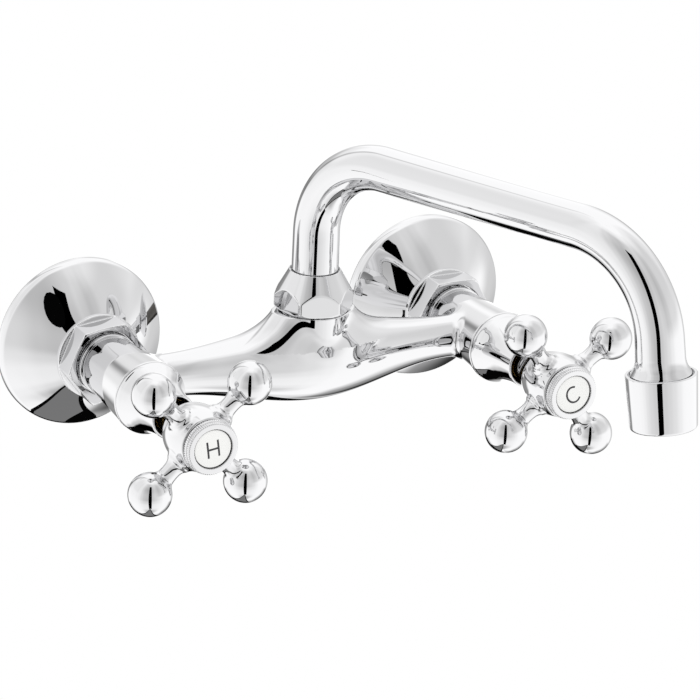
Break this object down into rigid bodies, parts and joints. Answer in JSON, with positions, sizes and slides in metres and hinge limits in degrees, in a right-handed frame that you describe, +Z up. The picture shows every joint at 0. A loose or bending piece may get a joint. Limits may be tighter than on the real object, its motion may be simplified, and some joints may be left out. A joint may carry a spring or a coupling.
{
  "type": "wall-mounted two-handle basin mixer",
  "caption": "Chrome wall-mounted basin mixer with a swivelling bent-tube spout, cross handles with ball ends and round wall escutcheons.",
  "frame": {"origin": "on the finished wall, midway between the two supply tails", "axes": "+Z up, -Y straight out of the wall towards the user, +X to the user's right (the cold side)"},
  "size_m": [0.217, 0.2408, 0.1255],
  "materials": {
    "chrome": "polished",
    "brass": "machined",
    "ceramic": "lapped alumina",
    "index_enamel": "glossy white",
    "black_rubber": "matt",
    "fibre": "matt",
    "acetal": "moulded"
  },
  "bodies": {
    "fixed_body": {"hot_wall_union": "brass", "hot_escutcheon": "chrome", "hot_union_nut": "chrome", "hot_inlet_washer": "black_rubber", "hot_seat_seal": "black_rubber", "hot_fixed_disc": "ceramic", "hot_headwork": "brass", "hot_headwork_gasket": "fibre", "hot_shroud": "chrome", "cold_wall_union": "brass", "cold_escutcheon": "chrome", "cold_union_nut": "chrome", "cold_inlet_washer": "black_rubber", "cold_seat_seal": "black_rubber", "cold_fixed_disc": "ceramic", "cold_headwork": "brass", "cold_headwork_gasket": "fibre", "cold_shroud": "chrome", "mixer_body": "chrome", "spout_nut": "chrome", "spout_slip_washer": "acetal", "spout_bush": "acetal"},
    "swivel_spout": {"spout": "chrome", "spout_o_rings": "black_rubber", "aerator_housing": "chrome", "aerator_washer": "black_rubber", "aerator_insert": "acetal"},
    "hot_cross_handle": {"hot_handle": "chrome", "hot_handle_screw": "brass", "hot_index_ring": "chrome", "hot_index_disc": "index_enamel", "hot_spindle": "brass", "hot_moving_disc": "ceramic", "hot_spindle_o_ring": "black_rubber"},
    "cold_cross_handle": {"cold_handle": "chrome", "cold_handle_screw": "brass", "cold_index_ring": "chrome", "cold_index_disc": "index_enamel", "cold_spindle": "brass", "cold_moving_disc": "ceramic", "cold_spindle_o_ring": "black_rubber"}
  },
  "joints": [
    {"name": "spout_swivel", "type": "hinge", "parent": "fixed_body", "child": "swivel_spout", "pos_m": [0, -0.0505, 0.035], "axis": [0, 0, 1], "range_deg": [-112.9, 67.1]},
    {"name": "hot_valve", "type": "hinge", "parent": "fixed_body", "child": "hot_cross_handle", "pos_m": [-0.075, -0.1, 0.008], "axis": [0, -1, 0], "range_deg": [0, 90]},
    {"name": "cold_valve", "type": "hinge", "parent": "fixed_body", "child": "cold_cross_handle", "pos_m": [0.075, -0.1, 0.008], "axis": [0, 1, 0], "range_deg": [0, 90]}
  ]
}
